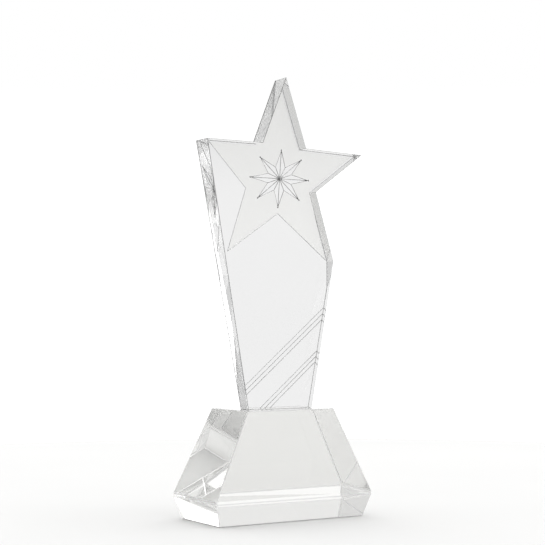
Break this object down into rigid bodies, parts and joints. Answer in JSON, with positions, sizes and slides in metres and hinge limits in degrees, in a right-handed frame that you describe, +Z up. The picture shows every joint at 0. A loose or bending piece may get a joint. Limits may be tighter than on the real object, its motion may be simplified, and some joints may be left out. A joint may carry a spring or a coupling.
{
  "type": "star trophy",
  "caption": "Upright crystal award: a clear slab ending in a five-pointed frosted star with an engraved rosette, bonded on a faceted crystal base.",
  "frame": {"origin": "centre of the base's flat underside", "axes": "+Z up to the star's apex, X across the plaque's width, -Y the way the front faces"},
  "size_m": [0.1079, 0.051, 0.2495],
  "materials": {
    "plaque_crystal": "clear polished optical crystal; the star field on the back face is sandblasted and the lines are V-cut",
    "bond_adhesive": "clear UV-cured adhesive",
    "base_crystal": "clear polished optical crystal with flat cut facets"
  },
  "bodies": {
    "root": {"star_plaque": "plaque_crystal", "bond_film": "bond_adhesive", "base_block": "base_crystal"}
  },
  "joints": []
}
